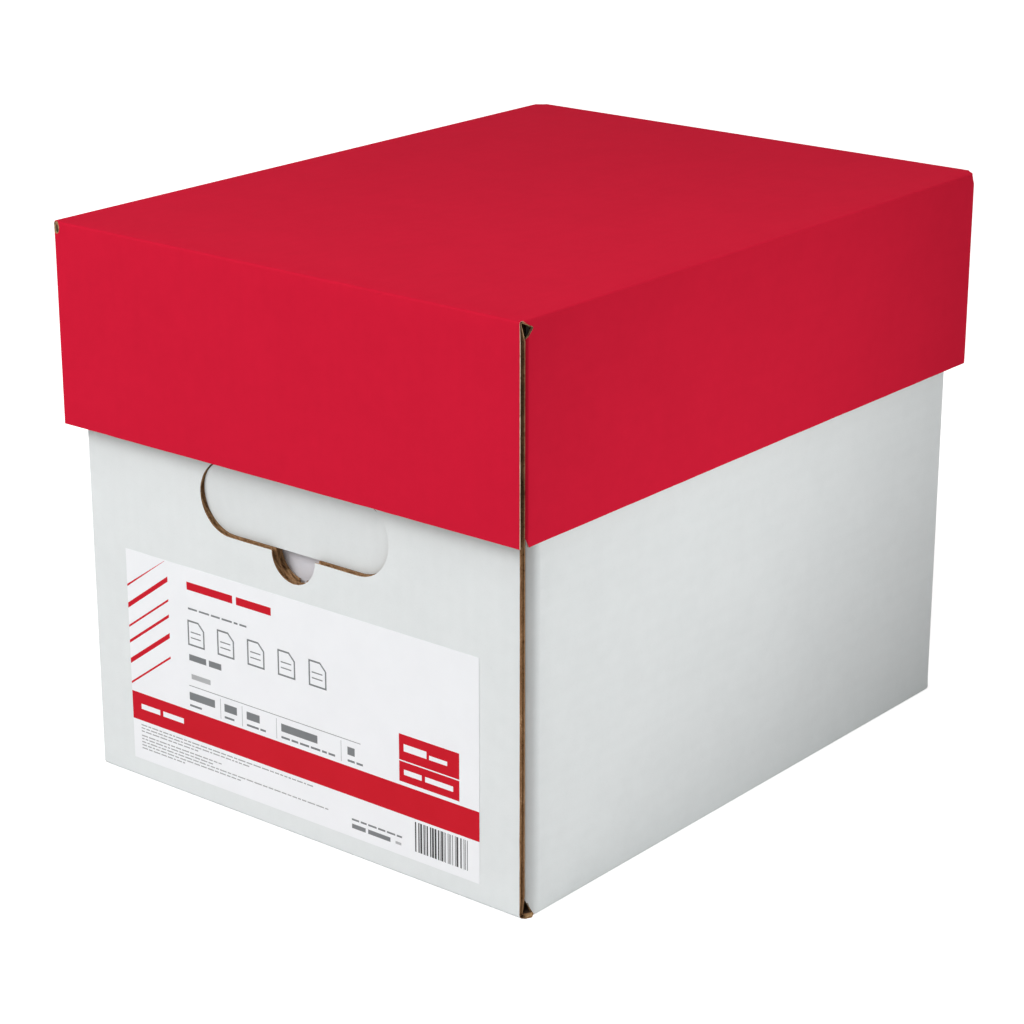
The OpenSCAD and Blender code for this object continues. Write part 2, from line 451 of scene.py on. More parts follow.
class Mesh:
    """Vertices, faces, material slots (inks) and places on the flat sheet of a piece while it is made."""

    def __init__(self):
        self.points, self.sheet, self.faces, self.inks = [], [], [], []

    def add(self, points, faces, inks, sheet):
        first = len(self.points)
        self.points += [tuple(p) for p in points]
        self.sheet += [tuple(p) for p in sheet]
        self.faces += [tuple(first + i for i in face) for face in faces]
        self.inks += list(inks)

    def skin(self, flat, triangles, outer, inner, inks, flipped=False):
        """A closed solid between an outer and an inner placing of the same flat triangles."""
        count = len(flat)
        edges = dict.fromkeys(pair for a, b, c in triangles for pair in ((a, b), (b, c), (c, a)))
        rim = [(b, a) for a, b in edges if (b, a) not in edges]
        faces = [(a, b, c) for a, b, c in triangles]
        faces += [(c + count, b + count, a + count) for a, b, c in triangles]
        faces += [(a, b, b + count, a + count) for a, b in rim]
        if flipped:
            faces = [face[::-1] for face in faces]
        outer_ink, inner_ink, rim_ink = inks
        paint = [ink for side in (outer_ink, inner_ink) for ink in np.broadcast_to(side, len(triangles))]
        paint += [rim_ink] * len(rim)
        sheet = np.column_stack([flat, np.zeros(count)])
        below = np.column_stack([flat, np.ones(count)])
        self.add(np.concatenate([outer, inner]), faces, paint, np.concatenate([sheet, below]))

    def grid(self, rows, inks, sheet):
        """A closed solid from a grid of upper and lower points, given as rows x columns x 2 x 3."""
        n, m = rows.shape[:2]
        index = np.arange(n * m * 2).reshape(n, m, 2)
        top, under = index[:, :, 0], index[:, :, 1]
        faces = []
        for grid, turned in ((top, False), (under, True)):
            quads = np.stack([grid[:-1, :-1], grid[:-1, 1:], grid[1:, 1:], grid[1:, :-1]], -1).reshape(-1, 4)
            faces += [tuple(q[::-1]) if turned else tuple(q) for q in quads]
        loop = [(0, j) for j in range(m)] + [(i, m - 1) for i in range(1, n)]
        loop += [(n - 1, j) for j in range(m - 2, -1, -1)] + [(i, 0) for i in range(n - 2, 0, -1)]
        for a, b in zip(loop, loop[1:] + loop[:1]):
            faces.append((top[b], top[a], under[a], under[b]))
        paint = [inks[0]] * (len(faces) - len(loop)) + [inks[1]] * len(loop)
        self.add(rows.reshape(-1, 3), faces, paint, sheet.reshape(-1, 3))

    def repaint(self, old, new, loop):
        """Gives another ink to the faces of one ink that lie inside a loop on the flat sheet."""
        middles = np.array([np.mean([self.sheet[i][:2] for i in face], 0) for face in self.faces])
        found = inside(middles, [loop]) & (np.array(self.inks) == old)
        for i in np.nonzero(found)[0]:
            self.inks[i] = new

    def build(self, name, materials):
        mesh = bpy.data.meshes.new(name)
        mesh.from_pydata(self.points, [], self.faces)
        for material in materials:
            mesh.materials.append(material)
        mesh.polygons.foreach_set("material_index", np.array(self.inks, np.int32))
        mesh.polygons.foreach_set("use_smooth", np.ones(len(self.faces), bool))
        place = mesh.attributes.new("sheet", "FLOAT_VECTOR", "POINT")
        place.data.foreach_set("vector", np.array(self.sheet, np.float32).ravel())
        mesh.validate()
        mesh.set_sharp_from_angle(angle=SHARP_ANGLE)
        mesh.update()
        return add_object(name, mesh)


def crossings(loops, u):
    """Where a line along the sheet enters and leaves it, as pairs."""
    found = []
    for (au, av), (bu, bv) in edges_of(loops):
        if min(au, bu) < u <= max(au, bu):
            found.append(av + (u - au) * (bv - av) / (bu - au))
    found.sort()
    return list(zip(found[::2], found[1::2]))


def flute_runs(loops):
    """Runs of rows along the sheet that belong together, each row as (u, start, end)."""
    step = FLUTE_PITCH / SAMPLES_PER_FLUTE
    reach = math.ceil(max(loop[:, 0].max() for loop in loops) / step)
    done, open_runs = [], []
    for i in range(-reach, reach):
        u = (i + 0.5) * step
        still_open = []
        for start, end in crossings(loops, u):
            if end - start < SHORTEST_ROW:
                continue
            match = None
            for run in open_runs:
                if abs(run[-1][1] - start) < LONGEST_JUMP and abs(run[-1][2] - end) < LONGEST_JUMP:
                    match = run
            if match is None:
                match = []
                done.append(match)
            match.append((u, start, end))
            still_open.append(match)
        open_runs = still_open
    return [run for run in done if len(run) > 1]


def flute_knots(carton, upright):
    """Places along the sheet at which a flute may turn, on the side panels or on the floor and end panels."""
    shares = np.arange(FOLD_STEPS + 1) / FOLD_STEPS
    if upright:
        bends = carton.turn_start + shares * (carton.turn_end - carton.turn_start)
        far = np.array([carton.along_tab(0)])
    else:
        bends = carton.end_start + shares * carton.fold * math.pi / 2
        far = np.linspace(bends[-1], carton.along_end(carton.height), 5)[1:-1]
    half = np.concatenate([np.linspace(0, bends[0], 4)[:-1], bends, far])
    return np.unique(np.round(np.concatenate([half, -half]), 6))


def add_flutes(mesh, carton, loops, place):
    """The fluted medium between the liners, as one wavy sheet for each run of rows."""
    loops = [np.asarray(loop, float) for loop in loops]
    swing = (carton.board - 2 * LINER - MEDIUM) / 2
    for run in flute_runs(loops):
        u, start, end = (np.array(c) for c in zip(*run))
        knots = flute_knots(carton, np.abs(u).max() > carton.side_start)
        knots = knots[(knots > start.min() + SHORTEST_ROW) & (knots < end.max() - SHORTEST_ROW)]
        order = np.arange(1, len(knots) + 1) * KNOT_GAP
        middle = np.maximum(knots, start[:, None] + order)
        middle = np.minimum(middle, end[:, None] - order[::-1])
        v = np.column_stack([start, middle, end])
        across = np.repeat(u[:, None], v.shape[1], 1)
        depth = carton.board / 2 + swing * np.cos((across - carton.flute_start) * 2 * math.pi / FLUTE_PITCH)
        rows = np.stack([place(across, v, depth - MEDIUM / 2), place(across, v, depth + MEDIUM / 2)], 2)
        sheet = np.stack([np.stack([across, v, depth / carton.board], -1)] * 2, 2)
        mesh.grid(rows, (FLUTE_INK, EDGE_INK), sheet)


def add_board(mesh, carton, loops, lines, place, seed):
    """Both liners and the fluted medium of the sheet inside the loops."""
    flat, triangles, rim = triangulate(loops, lines, seed)
    rng = np.random.default_rng(seed)
    crush = RIM_CRUSH * np.exp(-((rim / CRUSH_REACH) ** 2))
    ragged = np.where(rim < ON_RIM, rng.normal(0, RAGGED, len(flat)), 0)
    torn = flat + np.where(np.abs(flat) > MM, np.sign(flat), 0) * -np.abs(ragged)[:, None]
    outer = [place(*torn.T, crush + below) for below in (0, LINER)]
    inner = [place(*flat.T, carton.board - LINER + below) for below in (0, LINER)]
    flipped = not carton.upside_down
    mesh.skin(flat, triangles, *outer, (FACE_INK, FLUTE_INK, carton.outer_edge_ink), flipped)
    across, along = np.abs(flat[triangles].mean(1)).T
    # the inner face in each corner pocket gets painted shade: near-black kraft where the pocket lies in
    # shadow
    painted_shade_pocket = (across > carton.side_start - PAINTED_SHADE_MARGIN[0]) & (along > carton.turn_start - PAINTED_SHADE_MARGIN[1])
    painted_shade_pocket &= across < carton.side_start + carton.foot_rise
    shaded_inner_inks = np.where(painted_shade_pocket, POCKET_SHADE_INK, KRAFT_INK)
    mesh.skin(flat, triangles, *inner, (FLUTE_INK, shaded_inner_inks, EDGE_INK), flipped)
    add_flutes(mesh, carton, loops, place)


def add_torn_rim(mesh, place, line, corner, depth, flare, seed):
    """A crushed rim that closes the board's edge down to a depth along a cut at one corner, flaring out."""
    rng = np.random.default_rng(seed)
    line = spread(line, TORN_STEP)
    run = np.gradient(line, axis=0)
    inward = np.stack([run[:, 1], -run[:, 0]], -1) / np.linalg.norm(run, axis=1)[:, None]
    rows = []
    for k, level in enumerate(np.linspace(TORN_MARGIN, depth, TORN_LEVELS)):
        rough = np.abs(rng.normal(0, TORN_ROUGH, len(line))) * (0 < k < TORN_LEVELS - 1)
        pulled = TORN_PULL - flare * k / (TORN_LEVELS - 1) + rough
        near = line + inward * pulled[:, None]
        far = near + inward * TORN_WIDTH
        rows.append([place(*(p * corner).T, level) for p in (near, far)])
    rows = np.array(rows).transpose(2, 0, 1, 3)
    sheet = np.zeros(rows.shape)
    sheet[..., :2] = line[:, None, None] * np.array(corner)
    mesh.grid(rows, (TORN_INK, TORN_INK), sheet)


def make_carton(name, carton, materials, seed):
    """A tray or a lid, folded from one sheet of corrugated board."""
    mesh = Mesh()
    loops = [sheet_outline(carton), *sheet_holes(carton)]

    def place(u, v, depth):
        return folded(carton, u, v, depth)

    lines = fold_lines(carton) + [[*scuff, scuff[0]] for scuff in carton.scuffs]
    add_board(mesh, carton, loops, lines, place, seed)
    # the scuff's outer loop wears the printed liner off to kraft; its inner loop is painted shade, a
    # near-black slit
    for scuff, old, new in zip(carton.scuffs, (FACE_INK, TORN_INK), (TORN_INK, POCKET_SHADE_INK)):
        mesh.repaint(old, new, scuff)
    for side, name_of_corner in ((1, "front_right"), (-1, "front_left")):
        cut = carton.cuts[name_of_corner]
        foot = (carton.along_side(carton.foot), carton.turn_end)
        nose = corner_line(carton, cut.nose)
        slant = [*corner_line(carton, [cut.nose[-1], *cut.slant]), foot]
        add_torn_rim(mesh, place, nose, (side, -1), carton.board - TORN_MARGIN, carton.nose_flare, seed)
        add_torn_rim(mesh, place, slant, (side, -1), SLANT_DEPTH * carton.board, SLANT_FLARE, seed)
    return mesh.build(name, materials)


def make_flap(name, carton, end, materials, seed):
    """The flap of a hand hole, pushed in about its crease; end is -1 at the front and 1 at the rear."""
    mesh = Mesh()
    outline = [(x, end * carton.along_end(z)) for x, z in hole_outline(FLAP_KERF, notch=False)]
    pivot_y = carton.length / 2 - carton.board
    span = carton.along_end(CREASE_HEIGHT)
    sine, cosine = math.sin(FLAP_TILT), math.cos(FLAP_TILT)

    def place(u, v, depth):
        point = folded(carton, u, v, depth)
        below = np.clip((span - np.abs(v)) / HOLE_HEIGHT, 0, 1)
        # the flap's foot runs straight, where the panel's bow would carry it into the ream
        out = np.abs(point[..., 1]) - pivot_y - FLAP_BOW * np.sin(below * math.pi)
        out = out + bow_depth(carton, u, v) * below
        down = CREASE_HEIGHT - point[..., 2]
        y = end * (pivot_y + out * cosine - down * sine)
        z = CREASE_HEIGHT - out * sine - down * cosine
        return np.stack([point[..., 0], y, z], -1)

    add_board(mesh, carton, [outline], [], place, seed)
    return mesh.build(name, materials)


# Materials


def add_node(material, kind, inputs=None, **settings):
    """Adds a shader node; an input given as another node's socket is linked to it."""
    made = material.node_tree.nodes.new(kind)
    for name, value in settings.items():
        setattr(made, name, value)
    for key, value in (inputs or {}).items():
        if isinstance(value, bpy.types.NodeSocket):
            material.node_tree.links.new(value, made.inputs[key])
        else:
            made.inputs[key].default_value = value
    return made


def new_material(name, roughness, specular):
    """A node material and its principled shader."""
    material = bpy.data.materials.new(name)
    material.use_nodes = True
    shader = material.node_tree.nodes["Principled BSDF"]
    shader.inputs["Roughness"].default_value = roughness
    shader.inputs["Specular IOR Level"].default_value = specular
    return material, shader


def noise(material, vector, size, detail=3.0, roughness=0.55):
    """Noise whose features are about size metres across."""
    inputs = {"Vector": vector, "Scale": 1 / size, "Detail": detail, "Roughness": roughness}
    return add_node(material, "ShaderNodeTexNoise", inputs).outputs["Fac"]


def ramp(material, value, stops):
    """A colour ramp over (place, colour) stops."""
    made = add_node(material, "ShaderNodeValToRGB", {"Fac": value})
    elements = made.color_ramp.elements
    while len(elements) < len(stops):
        elements.new(0.5)
    for element, (place, colour) in zip(elements, stops):
        element.position = place
        element.color = (*colour, 1)
    return made.outputs["Color"]


def mix(material, share, a, b, blend):
    """Mixes two colours; a and b are colours or sockets."""
    made = add_node(material, "ShaderNodeMix", {"Factor": share}, data_type="RGBA", blend_type=blend)
    for socket, value in ((made.inputs[6], a), (made.inputs[7], b)):
        if isinstance(value, bpy.types.NodeSocket):
            material.node_tree.links.new(value, socket)
        else:
            socket.default_value = (*value, 1)
    return made.outputs[2]


def maths(material, operation, a, b=0.0, c=0.0):
    """One step of arithmetic on values or sockets."""
    return add_node(material, "ShaderNodeMath", {0: a, 1: b, 2: c}, operation=operation).outputs[0]


def weighted(material, *terms):
    """The sum of sockets, each times its weight."""
    total = 0.0
    for socket, weight in terms:
        total = maths(material, "MULTIPLY_ADD", socket, weight, total)
    return total


def dress(material, shader, colour, height, distance):
    """Gives the shader its colour, and a bump from a height map."""
    bump = add_node(material, "ShaderNodeBump", {"Height": height, "Distance": distance})
    material.node_tree.links.new(colour, shader.inputs["Base Color"])
    material.node_tree.links.new(bump.outputs["Normal"], shader.inputs["Normal"])


def board_face(name, colour, shade, roughness, specular, telegraph):
    """The printed or coated outer liner: mottled, finely grained and faintly ribbed by the flutes."""
    material, shader = new_material(name, roughness, specular)
    place = add_node(material, "ShaderNodeTexCoord").outputs["Object"]
    sheet = add_node(material, "ShaderNodeAttribute", attribute_name="sheet").outputs["Vector"]
    across = add_node(material, "ShaderNodeSeparateXYZ", {"Vector": sheet}).outputs["X"]
    rib = maths(material, "COSINE", maths(material, "MULTIPLY", across, 2 * math.pi / FLUTE_PITCH))
    cloud = noise(material, place, 26 * MM, 4)
    blotch = noise(material, place, 7 * MM, 3)
    fibre = noise(material, place, 0.9 * MM, 4, 0.7)
    tone = ramp(material, weighted(material, (cloud, 0.55), (blotch, 0.45)), [(0.36, shade), (0.62, colour)])
    fleck = ramp(material, fibre, [(0.30, (0.93, 0.93, 0.925)), (0.46, (1, 1, 1))])
    rib_share = maths(material, "MULTIPLY_ADD", rib, 0.5, 0.5)
    ribbed = ramp(material, rib_share, [(0, (0.994, 0.994, 0.994)), (1, (1, 1, 1))])
    flecked = mix(material, 0.35, tone, fleck, "MULTIPLY")
    height = weighted(material, (rib, telegraph), (fibre, 0.35), (blotch, 0.5))
    dress(material, shader, mix(material, 1.0, flecked, ribbed, "MULTIPLY"), height, 0.06 * MM)
    return material


def kraft(name, dark, light, fleck=None):
    """Unbleached kraft paper with darker specks and, where they are asked for, pale flecks."""
    material, shader = new_material(name, 0.85, 0.2)
    place = add_node(material, "ShaderNodeTexCoord").outputs["Object"]
    broad = noise(material, place, 6 * MM, 3)
    fine = noise(material, place, 0.8 * MM, 4, 0.7)
    speck = noise(material, place, 1.7 * MM, 2, 0.5)
    both = weighted(material, (broad, 0.5), (fine, 0.5))
    tone = ramp(material, both, [(0.38, dark), (0.58, light), (0.66, fleck or light)])
    spots = ramp(material, speck, [(0.30, (0.55, 0.5, 0.45)), (0.40, (1, 1, 1))])
    dress(material, shader, mix(material, 1.0, tone, spots, "MULTIPLY"), fine, 0.15 * MM)
    return material


def paper(name, colour, shade, roughness, specular=0.4):
    """Smooth printed paper with a slight unevenness of tone."""
    material, shader = new_material(name, roughness, specular)
    place = add_node(material, "ShaderNodeTexCoord").outputs["Object"]
    broad = noise(material, place, 18 * MM, 3)
    fine = noise(material, place, 0.6 * MM, 3, 0.6)
    tone = ramp(material, broad, [(0.35, shade), (0.6, colour)])
    dress(material, shader, tone, fine, 0.02 * MM)
    return material


WHITE = board_face("white_board", (0.765, 0.795, 0.795), (0.74, 0.77, 0.77), 0.75, 0.06, 0.12)
RED = board_face("red_board", (0.62, 0.0110, 0.0375), (0.595, 0.0104, 0.0355), 0.75, 0.015, 0.10)
KRAFT = kraft("kraft", (0.33, 0.185, 0.085), (0.47, 0.29, 0.15))
EDGE = kraft("kraft_edge", (0.30, 0.155, 0.07), (0.56, 0.35, 0.19))
FLUTE = kraft("kraft_flute", (0.10, 0.05, 0.022), (0.26, 0.14, 0.066))
TRAY_EDGE = kraft("kraft_tray_edge", (0.23, 0.115, 0.048), (0.36, 0.20, 0.092), (0.66, 0.44, 0.25))
# a lighter copy of the flute kraft for the tray: painted light, so the hollows of its cut edges look evenly
# lit
TRAY_FLUTE_PAINTED_LIGHT = kraft("kraft_tray_flute", (0.27, 0.145, 0.065), (0.46, 0.265, 0.13), (0.6, 0.39, 0.21))
TORN = kraft("kraft_torn_edge", (0.05, 0.026, 0.012), (0.50, 0.31, 0.145), (0.66, 0.44, 0.24))
# near-black kraft: painted shade for the inner corner pockets and the lid's slit
POCKET_PAINTED_SHADE = kraft("kraft_pocket", (0.035, 0.02, 0.011), (0.075, 0.042, 0.022))
CREAM = kraft("lined_edge", (0.46, 0.33, 0.23), (0.68, 0.55, 0.42))
LABEL_INKS = {
    "paper": paper("label_paper", (0.875, 0.89, 0.91), (0.86, 0.875, 0.895), 0.6, 0.05),
    "red": paper("label_red", (0.585, 0.0125, 0.026), (0.57, 0.0118, 0.024), 0.6, 0.03),
    "grey": paper("label_grey", (0.155, 0.165, 0.172), (0.14, 0.15, 0.158), 0.4),
    "pale": paper("label_pale_grey", (0.40, 0.41, 0.42), (0.38, 0.39, 0.40), 0.4),
    "black": paper("label_black", (0.02, 0.02, 0.022), (0.016, 0.016, 0.018), 0.4),
    "small": paper("label_small_print", (0.30, 0.305, 0.31), (0.28, 0.285, 0.29), 0.5),
}
WRAPPER = paper("ream_wrapper", (0.80, 0.80, 0.85), (0.77, 0.77, 0.82), 0.45)


# The carton's own sheets

TRAY_FRONT = CornerCut(
    2.8 * MM,
    [(-0.3, 1.8), (0.9, 2.1), (1.9, 2.9), (2.4, 4.3), (2.1, 5.9)],
    [(3.5, 5.1), (5.4, 4.1), (8.0, 2.4)],
)
TRAY_REAR = CornerCut(5.7 * MM, [(-3.3, 1.1), (-0.6, 3.9), (1.6, 6.2)], [(3.6, 5.6), (5.4, 4.2)])
LID_FRONT_RIGHT = CornerCut(
    1.1 * MM,
    [(0.1, 1.2), (0.8, 1.3), (1.5, 1.9), (2.2, 3.4), (3.0, 5.2), (4.0, 6.3)],
    [],
)
LID_FRONT_LEFT = CornerCut(1.1 * MM, [(0.1, 0.8), (0.9, 1.3)], [(3.0, 1.6), (5.0, 1.3)])
LID_REAR = CornerCut(4.8 * MM, [(-3.6, 1.3), (-0.4, 4.0), (1.4, 5.4)], [(3.6, 4.6)])
TRAY = Carton(
    TRAY_LOW, TRAY_HIGH, board=TRAY_BOARD, fold=2.2 * MM, corner=TRAY_BOARD + 2.2 * MM, tab_gap=4 * MM,
    cuts={"front_right": TRAY_FRONT, "front_left": TRAY_FRONT, "rear": TRAY_REAR},
    flat=0.96, foot=7.2 * MM, head=3 * MM, flute_start=0.85 * MM,
    bow={"floor": 0.3 * MM, "end": 0.45 * MM, "side": 0.8 * MM},
)
LID = Carton(
    LID_LOW, LID_HIGH, board=LID_BOARD, fold=1 * MM, corner=LID_BOARD - 2.3 * MM, tab_gap=58 * MM,
    cuts={"front_right": LID_FRONT_RIGHT, "front_left": LID_FRONT_LEFT, "rear": LID_REAR},
    flat=0, foot=7 * MM, head=3 * MM, flute_start=FLUTE_PITCH / 2,
    bow={"floor": 0.9 * MM, "end": 0.25 * MM, "side": 0.3 * MM},
)
LID.upside_down = True
LID.nose_flare = 0.55 * MM
LID.outer_edge_ink = LINED_INK
# the printed liner is worn off at the upper front left corner, about a slit painted dark with shade
SCUFF_U, SCUFF_V = -(LID.width / 2 - 2.3 * MM), -(LID.length / 2 + 2.0 * MM)
LID.scuffs = [
    [(SCUFF_U + u, SCUFF_V + v) for u, v in ellipse(1.7 * MM, 2.6 * MM)],
    [(SCUFF_U + 0.5 * MM + u, SCUFF_V - 0.4 * MM + v) for u, v in ellipse(0.6 * MM, 1.7 * MM)],
]


# The label's print, in millimetres from its lower left corner


def bar(left, low, width, height):
    return [(left, low), (left + width, low), (left + width, low + height), (left, low + height)]


def word_row(rng, left, low, width, height, shortest, longest, gap):
    """A row of dashes as long as words, in place of a line of print."""
    bars, at = [], left
    while at < left + width - shortest:
        run = min(rng.uniform(shortest, longest), left + width - at)
        bars.append(bar(at, low, run, height))
        at += run + gap
    return bars


def sheet_icon(left, low, width, height, stroke, fold):
    """The strokes of an outlined sheet of paper with one corner folded, and two lines on it."""
    right, top = left + width, low + height
    slant = stroke * 0.7
    rows = [bar(left + 2.2 * stroke, low + height * rise, width - 5 * stroke, 0.5) for rise in (0.30, 0.52)]
    turned = [
        (right - fold, top), (right - fold - slant, top - slant),
        (right - slant, top - fold - slant), (right, top - fold),
    ]
    return [
        bar(left, low, width, stroke),
        bar(left, top - stroke, width - fold, stroke),
        bar(left, low + stroke, stroke, height - 2 * stroke),
        bar(right - stroke, low + stroke, stroke, height - fold - stroke),
        turned,
        *rows,
    ]


def label_print():
    """Every printed shape on the label as (ink, outline)."""
    rng = random.Random(5)
    shapes = []

    def ink(name, outlines):
        shapes.extend((name, outline) for outline in outlines)

    # slanted stripes in the margin
    margin, rise, top = 23.7, 17.0, 92.0
    for low, stroke in ((76.0, 1.0), (66.5, 2.3), (58.0, 1.0), (51.0, 1.4), (42.0, 2.3), (33.0, 1.0)):
        high = min(low + rise, top)
        reach = margin * (high - low) / rise
        ink("red", [[(0, low), (reach, high), (reach, min(high + stroke, top + 0.2)), (0, low + stroke)]])
    # band and badge
    ink("red", [bar(0, 17.6, 187.2, 12.4), bar(147.2, 40.5, 30.2, 10.8), bar(147.2, 31.5, 30.2, 8.5)])
    ink("paper", [bar(149.6, 44.4, 11.5, 3.0), bar(162.4, 44.4, 9.0, 1.8)])
    ink("paper", [bar(149.6, 34.6, 9.0, 2.2), bar(160.3, 34.6, 14.0, 2.2)])
    ink("paper", word_row(rng, 5.2, 22.9, 29.5, 2.3, 6, 14, 1.8))
    # heading, and one outlined block for each ream
    ink("red", [bar(34.5, 82.8, 25.5, 3.4), bar(62.0, 82.8, 19.0, 3.4)])
    ink("grey", word_row(rng, 34.8, 74.4, 35, 0.8, 2, 6, 1.0))
    for i in range(REAM_COUNT):
        ink("grey", sheet_icon(34.2 + i * 16.6, 58.8, 9.4, 11.0, 0.75, 3.2))
    ink("grey", [bar(34.5, 52.2, 9.6, 2.7), bar(45.6, 52.2, 7.0, 2.7)])
    ink("pale", [bar(35.4, 44.2, 10.8, 2.2)])
    # rule and columns
    ink("grey", [bar(33.9, 40.9, 93.4, 0.28)])
    ink("pale", [bar(x, 31.0, 0.3, 8.8) for x in (51.3, 63.4, 82.3, 116.9)])
    columns = ((33.9, 14.4, 8.5), (53.6, 7.0, 6.6), (66.0, 7.2, 12.4), (85.0, 19.5, 29.4), (120.4, 3.8, 7.0))
    for left, wide, small in columns:
        ink("grey", [bar(left, 34.8, wide, 3.4)])
        ink("grey", word_row(rng, left, 31.9, small + 1, 0.9, 2.5, 7, 0.9))
    # small print
    lines = ((15.4, 97), (14.0, 62), (12.6, 33), (10.6, 48), (9.2, 42), (7.8, 105), (6.4, 57), (5.0, 25))
    for low, length in lines:
        ink("small", word_row(rng, 4.6, low, length, 0.5, 1.2, 4.2, 0.6))
    ink("grey", word_row(rng, 122.1, 7.3, 26.5, 0.8, 1.5, 5, 0.8))
    ink("grey", [bar(122.1, 3.9, 7.2, 1.9), bar(130.6, 3.9, 11.6, 1.9)])
    ink("pale", [bar(144.8, 4.1, 3.0, 1.1)])
    # bars of uneven width
    at, last, widths = 154.9, 181.6, (0.33, 0.33, 0.66, 0.99)
    while at < last:
        wide = rng.choice(widths)
        ink("black", [bar(at, 3.8, wide, 12.6)])
        at += wide + rng.choice(widths)
    return shapes


def make_label():
    """The label, as one sheet whose printed shapes are faces of their own."""
    inks = list(LABEL_INKS)
    shapes = label_print()
    width, height = (LABEL_HIGH.x - LABEL_LOW.x) / MM, (LABEL_HIGH.z - LABEL_LOW.z) / MM
    step = 8
    outline = spread(bar(0, 0, width, height), step, closed=True)
    points, faces = [tuple(p) for p in outline], [list(range(len(outline)))]
    for _, polygon in shapes:
        faces.append(list(range(len(points), len(points) + len(polygon))))
        points += [tuple(p) for p in polygon]
    rows = np.arange(step, height - step / 2, step)
    points += [(x, z) for x in np.arange(step, width - step / 2, step) for z in rows]
    made = geometry.delaunay_2d_cdt([Vector(p) for p in points], [], faces, 1, 1e-5)
    flat = np.array([tuple(p) for p in made[0]]) * MM
    triangles = [tuple(f) for f in made[2]]
    paint = [inks.index(shapes[max(sources) - 1][0]) if max(sources) else 0 for sources in made[5]]
    u = flat[:, 0] + LABEL_LOW.x
    v = -(TRAY.along_end(0) + flat[:, 1] + LABEL_LOW.z)
    outer, inner = (folded(TRAY, u, v, depth) for depth in (LABEL_LOW.y - TRAY_LOW.y, 0))
    mesh = Mesh()
    mesh.skin(np.column_stack([u, v]), triangles, outer, inner, (paint, 0, 0))
    return mesh.build("front_label_print", LABEL_INKS.values())


def ream_rings(low, high):
    """Rings of points along a ream, a little narrower at both ends."""
    half_width, thickness, middle = (high.x - low.x) / 2, high.z - low.z, (low.z + high.z) / 2
    radius, steps, inner_rings = 1.4 * MM, 5, 20
    section = []
    for cx, cz, start in ((1, 1, 0), (-1, 1, 90), (-1, -1, 180), (1, -1, 270)):
        centre = (cx * (half_width - radius), cz * (thickness / 2 - radius))
        section += arc(centre, radius, start, start + 90, steps)
    section = spread(section, 14 * MM, closed=True)
    inner = np.linspace(low.y + 6 * MM, high.y - 6 * MM, inner_rings)
    lengths = [low.y, low.y + 0.5 * MM, *inner, high.y - 0.5 * MM, high.y]
    shrink = [0.6 * MM, 0.12 * MM, *np.zeros(inner_rings), 0.12 * MM, 0.6 * MM]
    rings = []
    for y, less in zip(lengths, shrink):
        x = section[:, 0] * (1 - less / half_width)
        z = section[:, 1] * (1 - 2 * less / thickness)
        rings.append(np.column_stack([x, np.full(len(x), y), middle + z]))
    return rings


def make_ream(level):
    """A wrapped ream: a soft-edged block with its wrapper's tucked folds at both ends."""
    low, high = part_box(f"ream_{level}")
    mesh = Mesh()
    rings = ream_rings(low, high)
    count = len(rings[0])
    points = np.concatenate(rings)
    faces = []
    last = (len(rings) - 1) * count
    for i in range(0, last, count):
        for j in range(count):
            k = (j + 1) % count
            faces.append((i + j, i + k, i + count + k, i + count + j))
    faces += [tuple(range(count))[::-1], tuple(range(last, last + count))]
    mesh.add(points, faces, [0] * len(faces), points)
    # the end folds: two side tucks under a lower and an upper flap, each layer further out
    layer, inset = 0.18 * MM, 1.2 * MM
    wide, top, foot = high.x - inset, high.z - inset, low.z + inset
    tuck, rise, lower, upper = 26 * MM, 20 * MM, 24 * MM, 27 * MM
    flaps = [
        [(-wide, foot), (-wide + tuck, foot + rise), (-wide + tuck, top - rise), (-wide, top)],
        [(wide, top), (wide - tuck, top - rise), (wide - tuck, foot + rise), (wide, foot)],
        [(-wide, foot), (wide, foot), (wide - lower, foot + lower), (-wide + lower, foot + lower)],
        [(-wide, top), (-wide + upper, top - upper), (wide - upper, top - upper), (wide, top)],
    ]
    for end, y in ((-1, low.y), (1, high.y)):
        for order, flap in enumerate(flaps):
            depth = y - end * (0.9 - 0.2 * order) * MM
            front = [(x, depth + end * layer, z) for x, z in flap]
            back = [(x, depth, z) for x, z in flap]
            sides = [(i, (i + 1) % 4, (i + 1) % 4 + 4, i + 4) for i in range(4)]
            ring = [(3, 2, 1, 0), (4, 5, 6, 7), *sides]
            if end < 0:
                ring = [face[::-1] for face in ring]
            mesh.add(front + back, ring, [0] * len(ring), front + back)
    return mesh.build(f"ream_{level}_wrapped", [WRAPPER])


def place_piece(piece, body, node):
    """Puts a piece on its body, in the place of its CAD node."""
    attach(piece, body)
    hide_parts(node)


# The materials of each board, in the order of the slots
BOARD = [WHITE, KRAFT, TRAY_FLUTE_PAINTED_LIGHT, TRAY_EDGE, POCKET_PAINTED_SHADE]
RED_BOARD = [RED, KRAFT, FLUTE, EDGE, POCKET_PAINTED_SHADE, TORN, CREAM]
place_piece(make_carton("tray_folded", TRAY, [*BOARD, TORN], 3), "tray", "tray")
place_piece(make_carton("lid_folded", LID, RED_BOARD, 4), "lid", "lid")
place_piece(make_flap("flap_front_board", TRAY, -1, BOARD, 5), "flap_front", "hand_flap_front")
place_piece(make_flap("flap_rear_board", TRAY, 1, BOARD, 6), "flap_rear", "hand_flap_rear")
place_piece(make_label(), "tray", "front_label")
for level in range(1, REAM_COUNT + 1):
    place_piece(make_ream(level), "tray", f"ream_{level}")


# Floor, light and camera


